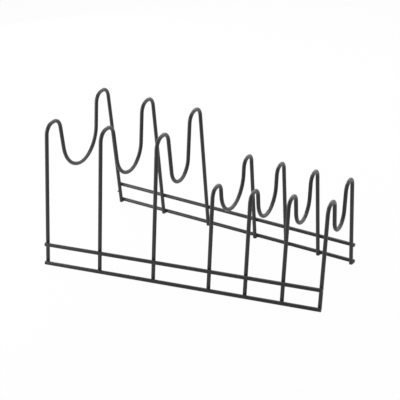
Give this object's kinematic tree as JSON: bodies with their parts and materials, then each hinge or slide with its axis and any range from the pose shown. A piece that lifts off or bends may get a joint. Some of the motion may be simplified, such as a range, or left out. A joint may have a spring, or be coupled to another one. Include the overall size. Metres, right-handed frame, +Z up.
{
  "type": "plate rack",
  "caption": "Free-standing welded wire rack that holds plates, bowls and lids on edge between M-shaped dividers, tall and wide at one end, low and narrow at the other.",
  "frame": {"origin": "on the floor the rack stands on, midway between the first and last dividers and midway between the front and back feet", "axes": "+X along the rack from the tall, wide end to the short, narrow end; +Y from front to back, across the rack; +Z up"},
  "size_m": [0.3051, 0.1742, 0.1555],
  "materials": {
    "black_coating": "satin"
  },
  "bodies": {
    "root": {"back_lower_rail": "black_coating", "back_upper_rail": "black_coating", "front_lower_rail": "black_coating", "front_upper_rail": "black_coating", "short_divider_1": "black_coating", "short_divider_2": "black_coating", "short_divider_3": "black_coating", "short_divider_4": "black_coating", "tall_divider_1": "black_coating", "tall_divider_2": "black_coating", "tall_divider_3": "black_coating"}
  },
  "joints": []
}
